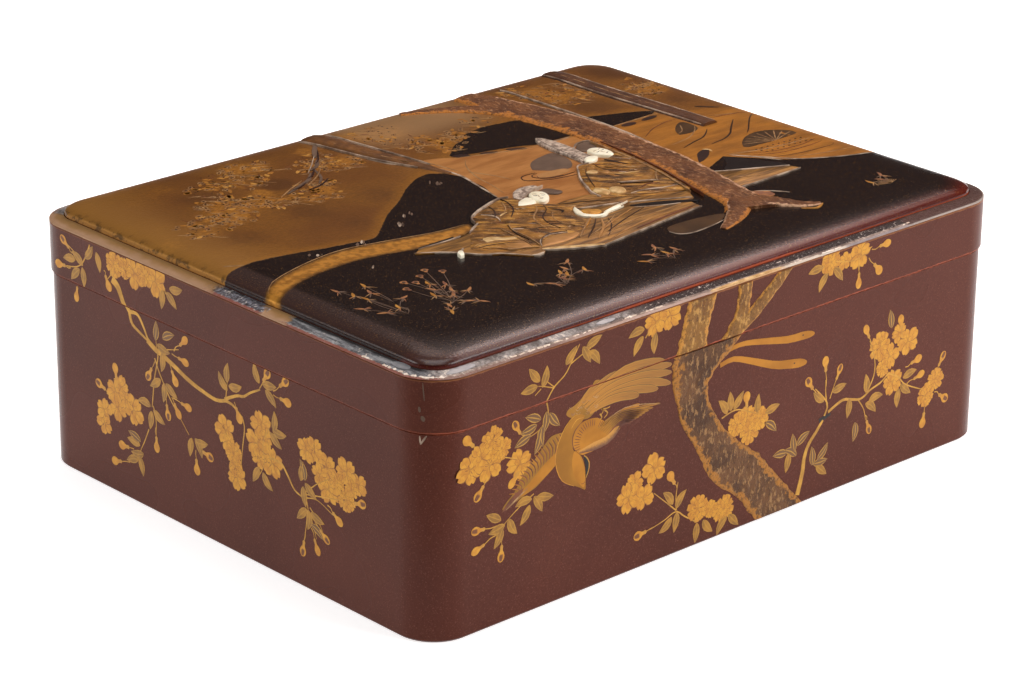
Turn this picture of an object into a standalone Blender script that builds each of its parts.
"""Lacquered document box with a lift-off lid, for Blender 4.5.

The base is an open tray whose thin inner lip stands up into the lid and keeps it in place. The lid
has a sloping ledge with a strip of soft grey metal let into it, and inside the strip a raised
panel with rounded shoulders. The panel carries a carved picture in low relief: three tree trunks,
straw mats and two seated figures, whose faces, hand and foot are shell let into the lid. A trunk
in the same relief climbs the front, across the seam. Metres, +Z up. The origin is the middle of
the underside, the long side runs along X, and the front with the trunk looks to -Y.
"""

import math

import bmesh
import bpy
from mathutils import Vector

OBJECT_NAME = "document_box"

# Box
BOX_LENGTH = 0.420
BOX_WIDTH = 0.324
BASE_HEIGHT = 0.1125
CORNER_RADIUS = 0.0232
FLOOR_THICKNESS = 0.008
FOOT_BEVEL = 0.0012

# Fit of the lid on the base
SEAM_GAP = 0.0003
SEAM_BEVEL = 0.0005
LIP_HEIGHT = 0.007
LIP_THICKNESS = 0.0030
LID_CLEARANCE = 0.0005

# Lid
LID_SIDE_HEIGHT = 0.0292
LID_WALL = 0.0055
LID_OVERHANG = 0.0011
LID_TOP_THICKNESS = 0.007
COVE_HEIGHT = 0.008
COVE_REACH = 0.017

# Ledge round the lid and the metal strip on it
LEDGE_WIDTH = 0.0085
LEDGE_RISE = 0.0016
STRIP_THICKNESS = 0.0007
STRIP_EDGE_BEVEL = 0.0004
INLAY_GAP = 0.0003

# Raised panel: its rise above the ledge, the reach of its shoulder and its corners
PANEL_RISE = 0.0059
SHOULDER_REACH = 0.0215
PANEL_FOOT_RADIUS = 0.0055
PANEL_TOP_RADIUS = 0.0160

# Relief
TRUNK_RELIEF = 0.0020
ROBE_RELIEF = 0.0012
LAYER_RELIEF = 0.0004
FOLD_RELIEF = 0.0005
MAT_RELIEF = 0.0007
FRONT_RELIEF = 0.0012
RELIEF_ROOT = 0.0010
SHELL_RISE = 0.0024
SHELL_DEPTH = 0.0012

CORNER_STEPS = 8

# The picture is drawn on a sheet of this size and stretched to the lid and the front
DRAWN_LENGTH = 420.0
DRAWN_WIDTH = 324.0
DRAWN_HEIGHT = 141.7

# Heights and places that follow from the sizes above
LID_LENGTH = BOX_LENGTH + 2 * LID_OVERHANG
LID_WIDTH = BOX_WIDTH + 2 * LID_OVERHANG
LID_RADIUS = CORNER_RADIUS + LID_OVERHANG
LID_FOOT_Z = BASE_HEIGHT + SEAM_GAP
RIM_Z = LID_FOOT_Z + LID_SIDE_HEIGHT
LEDGE_TOP_Z = RIM_Z + LEDGE_RISE
PANEL_Z = LEDGE_TOP_Z + PANEL_RISE
CEILING_Z = PANEL_Z - LID_TOP_THICKNESS
STRIP_WIDTH = LEDGE_WIDTH - INLAY_GAP
LIP_INSET = LID_WALL + LID_CLEARANCE - LID_OVERHANG
BASE_WALL = LIP_INSET + LIP_THICKNESS

# Shoulder of the panel: share of its reach, share of its rise
SHOULDER = ((0.0, 0.0), (0.015, 0.34), (0.08, 0.56), (0.235, 0.745), (0.53, 0.90), (1.0, 1.0))

# Trunks on the lid, seen from above: x, y and width on the drawn sheet
LID_TRUNKS = {
    "main_trunk": ((74, -104, 34), (79, -92, 26), (84, -70, 25), (92, -38, 25), (97, -8, 26),
                   (99, 30, 27), (100, 60, 28), (97, 92, 28), (92, 120, 25), (89, 147, 18)),
    "left_root": ((80, -86, 17), (66, -100, 13), (52, -109, 9), (39, -115, 4)),
    "right_root": ((83, -90, 17), (92, -106, 12), (99, -116, 8), (108, -121, 4)),
    "main_branch": ((88, 108, 17), (74, 125, 12), (58, 137, 9), (40, 148, 7)),
    "left_trunk": ((-28, 148, 17), (-25, 122, 14), (-20, 92, 11), (-14, 68, 7), (-10, 48, 3)),
    "left_branch": ((-27, 140, 6), (-42, 126, 5), (-58, 104, 5), (-76, 91, 4), (-100, 82, 3)),
    "right_trunk": ((159, 148, 13), (158, 100, 13), (160, 52, 13), (161, 14, 12)),
}

# Mats and robes: outlines on the drawn sheet, anticlockwise. A robe also has its layer, because
# the sleeves lie over the back and the back lies over the skirt.
MATS = {
    "left_mat": ((-108, -37), (-26, -91), (66, -80), (74, -66), (20, -22), (-62, -27)),
    "right_mat": ((90, -44), (106, -47), (143, -73), (92, -75), (78, -60)),
}
ROBES = {
    "left_skirt": (0, ((-94, -50), (-70, -66), (-38, -77), (-8, -66), (4, -50), (-6, -34),
                       (-40, -30), (-66, -34))),
    "left_back": (1, ((-66, -32), (-58, -18), (-40, -9), (-14, -6), (-2, -18), (6, -32),
                      (-4, -52), (-34, -56))),
    "left_sleeve": (2, ((-26, -34), (-6, -26), (10, -36), (14, -50), (-2, -60), (-22, -54))),
    "left_hat": (2, ((-22, -8), (-12, -16), (-2, -10), (6, -2), (-6, 1), (-16, 0))),
    "right_skirt": (0, ((16, -34), (34, -50), (62, -60), (88, -62), (96, -34), (84, -16),
                        (40, -18))),
    "right_body": (1, ((40, -22), (62, -34), (86, -30), (90, -2), (82, 12), (62, 14), (46, 4))),
    "right_sleeve": (2, ((26, -10), (42, -26), (60, -30), (64, -14), (48, 2), (34, 4))),
    "right_hat": (2, ((60, 26), (67, 24), (72, 40), (69, 57), (62, 56), (61, 40))),
}

# Folds of the robes: the layer they lie on, start, middle and end, and their width at the middle
FOLDS = (
    (0, (-90, -51), (-62, -58), (-36, -70), 5),
    (0, (-72, -42), (-52, -50), (-34, -64), 4),
    (0, (-68, -34), (-78, -38), (-88, -46), 4),
    (0, (-12, -62), (-24, -66), (-36, -75), 4),
    (1, (-58, -28), (-34, -36), (-26, -50), 5),
    (1, (-46, -16), (-32, -26), (-28, -36), 5),
    (2, (-18, -36), (-4, -42), (6, -52), 4),
    (0, (28, -40), (54, -48), (84, -54), 4),
    (0, (38, -30), (62, -40), (88, -42), 4),
    (1, (60, -22), (74, -18), (88, -20), 4),
    (1, (58, 6), (72, -2), (86, 2), 4),
    (2, (36, -4), (48, -12), (58, -24), 4),
)

# Shell let into the lid: centre, half length, half width and turn in degrees
SHELLS = {
    "shell_face_left": ((-3, -14), 12.0, 5.6, 22.0),
    "shell_face_right": ((74, 19), 9.5, 6.4, 52.0),
    "shell_hand_left": ((10, -56), 15.0, 3.4, 8.0),
    "shell_foot_left": ((-93, -53), 4.2, 2.2, 48.0),
}

# Trunk on the front, seen from the front: right edge going up, then left edge coming down
FRONT_TRUNK = (
    (57, 2), (45, 15), (36, 28), (26, 42), (14, 52), (2, 62), (-6, 70), (-13, 78), (-17, 86),
    (-15, 94), (-8, 99), (1, 104), (6, 113), (14, 122), (32, 136), (39, 141), (26, 141),
    (8, 128), (1, 124), (4, 141), (-8, 141), (-9, 128), (-6, 118), (-9, 111), (-18, 106),
    (-18, 122), (-15, 141), (-37, 141), (-40, 126), (-42, 108), (-40, 90), (-32, 75), (-25, 60),
    (-15, 45), (-3, 28), (10, 15), (19, 2),
)


def rounded_ring(length, width, radius, height):
    """Corners and arcs of a rounded rectangle seen from above, anticlockwise."""
    centre_x = length / 2 - radius
    centre_y = width / 2 - radius
    ring = []
    for quarter, (side_x, side_y) in enumerate(((1, 1), (-1, 1), (-1, -1), (1, -1))):
        for step in range(CORNER_STEPS + 1):
            angle = math.radians(90) * (quarter + step / CORNER_STEPS)
            x = side_x * centre_x + radius * math.cos(angle)
            y = side_y * centre_y + radius * math.sin(angle)
            ring.append(Vector((x, y, height)))
    return ring


def base_ring(inset, height):
    """Ring that lies an inset inside the base's outer face."""
    return rounded_ring(BOX_LENGTH - 2 * inset, BOX_WIDTH - 2 * inset, CORNER_RADIUS - inset, height)


def lid_ring(inset, height, radius=None):
    """Ring that lies an inset inside the lid's outer face."""
    if radius is None:
        radius = LID_RADIUS - inset
    return rounded_ring(LID_LENGTH - 2 * inset, LID_WIDTH - 2 * inset, radius, height)


def ledge_ring(inset, drop=0.0):
    """Ring on the sloping ledge, whose corners tighten towards the panel's foot."""
    share = inset / LEDGE_WIDTH
    radius = LID_RADIUS + (PANEL_FOOT_RADIUS - LID_RADIUS) * share
    return lid_ring(inset, RIM_Z + LEDGE_RISE * share - drop, radius)


def panel_height(inset):
    """Height of the panel's surface at an inset from the lid's outer face."""
    share = (inset - LEDGE_WIDTH) / SHOULDER_REACH
    for (start, low), (end, high) in zip(SHOULDER, SHOULDER[1:]):
        if share <= end:
            along = max(share - start, 0.0) / (end - start)
            return LEDGE_TOP_Z + PANEL_RISE * (low + (high - low) * along)
    return PANEL_Z


def on_lid(x, y, lift=0.0):
    """Point of the drawn sheet on the lid's panel, lifted above its surface."""
    place_x = x / DRAWN_LENGTH * BOX_LENGTH
    place_y = y / DRAWN_WIDTH * BOX_WIDTH
    inset = min(LID_LENGTH / 2 - abs(place_x), LID_WIDTH / 2 - abs(place_y))
    return Vector((place_x, place_y, panel_height(inset) + lift))


def drawn_width(width):
    """Width on the drawn sheet at the lid's own size."""
    return width / DRAWN_WIDTH * BOX_WIDTH


def loft(name, rings, closed=False):
    """Skin a run of unlike rings of one count. An open run is capped, a closed one meets itself."""
    bm = bmesh.new()
    loops = [[bm.verts.new(point) for point in ring] for ring in rings]
    followers = loops[1:] + loops[:1] if closed else loops[1:]
    for lower, upper in zip(loops, followers):
        for a, b, c, d in zip(lower, lower[1:] + lower[:1], upper[1:] + upper[:1], upper):
            bm.faces.new((a, b, c, d))
    if not closed:
        bm.faces.new(loops[0])
        bm.faces.new(loops[-1])
    bmesh.ops.recalc_face_normals(bm, faces=bm.faces)
    mesh = bpy.data.meshes.new(name)
    bm.to_mesh(mesh)
    bm.free()
    return bpy.data.objects.new(name, mesh)


def smooth_run(points, steps=2):
    """Catmull-Rom points through the given ones, each a tuple of numbers."""
    ends = [points[0]] + list(points) + [points[-1]]
    run = []
    for before, start, end, after in zip(ends, ends[1:], ends[2:], ends[3:]):
        for step in range(steps):
            t = step / steps
            run.append(tuple(
                0.5 * (2 * b + (c - a) * t + (2 * a - 5 * b + 4 * c - d) * t * t
                       + (3 * b - a - 3 * c + d) * t ** 3)
                for a, b, c, d in zip(before, start, end, after)))
    run.append(tuple(points[-1]))
    return run


def ridge(name, stations, height, base_lift=0.0):
    """Low ridge over the panel along stations of x, y and width, rounded across its top."""
    run = smooth_run(stations)
    rings = []
    for index, (x, y, width) in enumerate(run):
        ahead = on_lid(*run[min(index + 1, len(run) - 1)][:2])
        behind = on_lid(*run[max(index - 1, 0)][:2])
        along = ahead - behind
        across = Vector((-along.y, along.x, 0)).normalized() * drawn_width(width) / 2
        middle = on_lid(x, y, base_lift)
        ring = []
        for degrees in (0, 25, 60, 90, 120, 155, 180):
            angle = math.radians(degrees)
            rise = height * math.sin(angle) ** 0.7
            ring.append(middle + across * math.cos(angle) + Vector((0, 0, rise)))
        root = Vector((0, 0, -RELIEF_ROOT - base_lift))
        rings.append(ring + [middle - across + root, middle + across + root])
    return loft(name, rings)


def mound(name, outline, height, rounding=0.82):
    """Low mound over the panel inside an outline of the drawn sheet."""
    run = smooth_run(outline + outline[:1])[:-1]
    middle = Vector((sum(x for x, y in run), sum(y for x, y in run))) / len(run)
    rings = []
    for share, lift in ((1.0, -RELIEF_ROOT), (1.0, height * 0.45), (0.95, height * 0.82),
                        (rounding, height)):
        places = [middle.lerp(Vector(point), share) for point in run]
        rings.append([on_lid(place.x, place.y, lift) for place in places])
    return loft(name, rings)


def mat_plate(name, outline):
    """Flat plate with straight edges over the panel."""
    rings = [[on_lid(x, y, lift) for x, y in outline] for lift in (-RELIEF_ROOT, MAT_RELIEF)]
    return loft(name, rings)


def shell_rings(place, half_length, half_width, turn, heights, grow=0.0):
    """Rings of an oval piece let into the panel, each height with its own share of the outline."""
    rings = []
    for share, lift in heights:
        ring = []
        for step in range(14):
            angle = 2 * math.pi * step / 14
            oval = Vector(((drawn_width(half_length) * share + grow) * math.cos(angle),
                           (drawn_width(half_width) * share + grow) * math.sin(angle), 0))
            oval.rotate(turn)
            centre = on_lid(*place)
            ring.append(Vector((centre.x + oval.x, centre.y + oval.y, PANEL_Z + lift)))
        rings.append(ring)
    return rings


def front_trunk(name, low, high, face_y):
    """Slice of the front's trunk between two heights, standing proud of a face."""
    bm = bmesh.new()
    points = [(x / DRAWN_LENGTH * BOX_LENGTH, z / DRAWN_HEIGHT * RIM_Z) for x, z in FRONT_TRUNK]
    sheet = bm.faces.new([bm.verts.new((x, face_y + RELIEF_ROOT, z)) for x, z in points])
    grown = bmesh.ops.extrude_face_region(bm, geom=[sheet])["geom"]
    moved = [item for item in grown if isinstance(item, bmesh.types.BMVert)]
    depth = RELIEF_ROOT + FRONT_RELIEF
    bmesh.ops.translate(bm, verts=moved, vec=(0, -depth, 0))
    outer = [item for item in grown if isinstance(item, bmesh.types.BMFace)]
    rim = list({edge for face in outer for edge in face.edges})
    bmesh.ops.bevel(bm, geom=rim, offset=FRONT_RELIEF / 2, affect="EDGES", segments=1,
                    profile=0.5, material=-1)
    for height, normal in ((low, (0, 0, -1)), (high, (0, 0, 1))):
        whole = bm.verts[:] + bm.edges[:] + bm.faces[:]
        cut = bmesh.ops.bisect_plane(bm, geom=whole, plane_co=(0, 0, height), plane_no=normal,
                                     clear_outer=True)
        edges = [item for item in cut["geom_cut"] if isinstance(item, bmesh.types.BMEdge)]
        bmesh.ops.holes_fill(bm, edges=edges, sides=0)
    bmesh.ops.recalc_face_normals(bm, faces=bm.faces)
    mesh = bpy.data.meshes.new(name)
    bm.to_mesh(mesh)
    bm.free()
    return bpy.data.objects.new(name, mesh)


def finish_material(name, colour, roughness, metallic=0.0):
    """Plain material for one sub-part."""
    material = bpy.data.materials.new(name)
    material.use_nodes = True
    shader = material.node_tree.nodes["Principled BSDF"]
    shader.inputs["Base Color"].default_value = (*colour, 1.0)
    shader.inputs["Roughness"].default_value = roughness
    shader.inputs["Metallic"].default_value = metallic
    return material


def make_collection(name):
    """Collection linked to the scene."""
    collection = bpy.data.collections.new(name)
    bpy.context.scene.collection.children.link(collection)
    return collection


def place(obj, collection, material):
    """Put a finished sub-part in its collection with its material."""
    obj.data.materials.append(material)
    collection.objects.link(obj)
    return obj


def guide(obj, collection):
    """Put a shape that only joins or cuts another one aside, as a wire."""
    obj.hide_render = True
    obj.display_type = "WIRE"
    collection.objects.link(obj)


def combine(obj, collection, operation):
    """Join or cut an object with every shape of a collection."""
    modifier = obj.modifiers.new(collection.name, "BOOLEAN")
    modifier.operation = operation
    modifier.operand_type = "COLLECTION"
    modifier.collection = collection
    modifier.solver = "EXACT"


def build_base():
    """Tray with its floor, its walls and the thin lip that stands up inside the lid."""
    lip_top = BASE_HEIGHT + LIP_HEIGHT
    inner = BASE_WALL
    rings = [
        base_ring(inner, FLOOR_THICKNESS),
        base_ring(inner, lip_top - SEAM_BEVEL),
        base_ring(inner - SEAM_BEVEL, lip_top),
        base_ring(LIP_INSET + SEAM_BEVEL, lip_top),
        base_ring(LIP_INSET, lip_top - SEAM_BEVEL),
        base_ring(LIP_INSET, BASE_HEIGHT),
        base_ring(SEAM_BEVEL, BASE_HEIGHT),
        base_ring(0.0, BASE_HEIGHT - SEAM_BEVEL),
        base_ring(0.0, FOOT_BEVEL),
        base_ring(FOOT_BEVEL, 0.0),
    ]
    return loft("base_box", rings)


def build_lid():
    """Lid from its hollow underside, round the foot, up the side and over the panel."""
    wall_top = CEILING_Z - COVE_HEIGHT
    rings = []
    for degrees in (90, 60, 30, 0):
        angle = math.radians(degrees)
        inset = LID_WALL + COVE_REACH * (1 - math.cos(angle))
        height = wall_top + COVE_HEIGHT * math.sin(angle)
        radius = max(LID_RADIUS - inset, PANEL_FOOT_RADIUS)
        rings.append(lid_ring(inset, height, radius))
    rings += [
        lid_ring(LID_WALL, LID_FOOT_Z),
        lid_ring(SEAM_BEVEL, LID_FOOT_Z),
        lid_ring(0.0, LID_FOOT_Z + SEAM_BEVEL),
        ledge_ring(0.0, STRIP_THICKNESS + INLAY_GAP),
        ledge_ring(LEDGE_WIDTH, STRIP_THICKNESS + INLAY_GAP),
    ]
    for share, rise in SHOULDER:
        radius = PANEL_FOOT_RADIUS + (PANEL_TOP_RADIUS - PANEL_FOOT_RADIUS) * share
        inset = LEDGE_WIDTH + SHOULDER_REACH * share
        rings.append(lid_ring(inset, LEDGE_TOP_Z + PANEL_RISE * rise, radius))
    return loft("lid", rings)


def build_strip():
    """Metal strip on the ledge, one closed ring with a rounded outer edge."""
    rings = [
        ledge_ring(0.0, STRIP_THICKNESS),
        ledge_ring(0.0, STRIP_EDGE_BEVEL),
        ledge_ring(STRIP_EDGE_BEVEL),
        ledge_ring(STRIP_WIDTH),
        ledge_ring(STRIP_WIDTH, STRIP_THICKNESS),
    ]
    return loft("lid_edge_strip", rings, closed=True)


def build_lid_relief(collection):
    """Trunks, mats and figures of the picture, each a low closed shape rooted in the panel."""
    for name, outline in MATS.items():
        guide(mat_plate(name, outline), collection)
    for name, (layer, outline) in ROBES.items():
        guide(mound(name, outline, ROBE_RELIEF + layer * LAYER_RELIEF), collection)
    for index, (layer, start, middle, end, width) in enumerate(FOLDS):
        stations = ((*start, width / 2), (*middle, width), (*end, width / 2))
        cloth = ROBE_RELIEF + layer * LAYER_RELIEF
        guide(ridge(f"fold_{index}", stations, FOLD_RELIEF, cloth), collection)
    for name, stations in LID_TRUNKS.items():
        guide(ridge(name, stations, TRUNK_RELIEF), collection)


def build_shells(model, pockets, material):
    """Shell pieces of the figures, each in a pocket of its own outline."""
    for name, (place_on_sheet, half_length, half_width, degrees) in SHELLS.items():
        turn = Vector((1, 0, 0)).rotation_difference(
            Vector((math.cos(math.radians(degrees)), math.sin(math.radians(degrees)), 0)))
        oval = (place_on_sheet, half_length, half_width, turn)
        heights = ((1.0, -SHELL_DEPTH), (1.0, SHELL_RISE * 0.7), (0.78, SHELL_RISE))
        place(loft(name, shell_rings(*oval, heights)), model, material)
        hollow = ((1.0, -SHELL_DEPTH - INLAY_GAP), (1.0, SHELL_RISE + RELIEF_ROOT))
        pocket = loft(f"{name}_pocket", shell_rings(*oval, hollow, INLAY_GAP))
        guide(pocket, pockets)


def build():
    """Clear the scene and build the whole box."""
    for obj in list(bpy.data.objects):
        bpy.data.objects.remove(obj, do_unlink=True)

    model = make_collection(OBJECT_NAME)
    lid_relief = make_collection("lid_relief")
    base_relief = make_collection("base_relief")
    pockets = make_collection("shell_pockets")

    lacquer = finish_material("red_brown_lacquer", (0.115, 0.045, 0.032), 0.3)
    pewter = finish_material("worn_pewter", (0.25, 0.23, 0.21), 0.5, 0.8)
    shell = finish_material("carved_shell", (0.78, 0.75, 0.62), 0.35)

    base = place(build_base(), model, lacquer)
    lid = place(build_lid(), model, lacquer)
    place(build_strip(), model, pewter)

    build_lid_relief(lid_relief)
    build_shells(model, pockets, shell)
    base_face = -BOX_WIDTH / 2
    lid_face = -LID_WIDTH / 2
    base_slice = front_trunk("front_trunk_low", FOOT_BEVEL, BASE_HEIGHT - SEAM_BEVEL, base_face)
    lid_slice = front_trunk("front_trunk_high", LID_FOOT_Z + SEAM_BEVEL,
                            RIM_Z - STRIP_THICKNESS - INLAY_GAP, lid_face)
    guide(base_slice, base_relief)
    guide(lid_slice, lid_relief)

    combine(base, base_relief, "UNION")
    combine(lid, lid_relief, "UNION")
    combine(lid, pockets, "DIFFERENCE")


build()
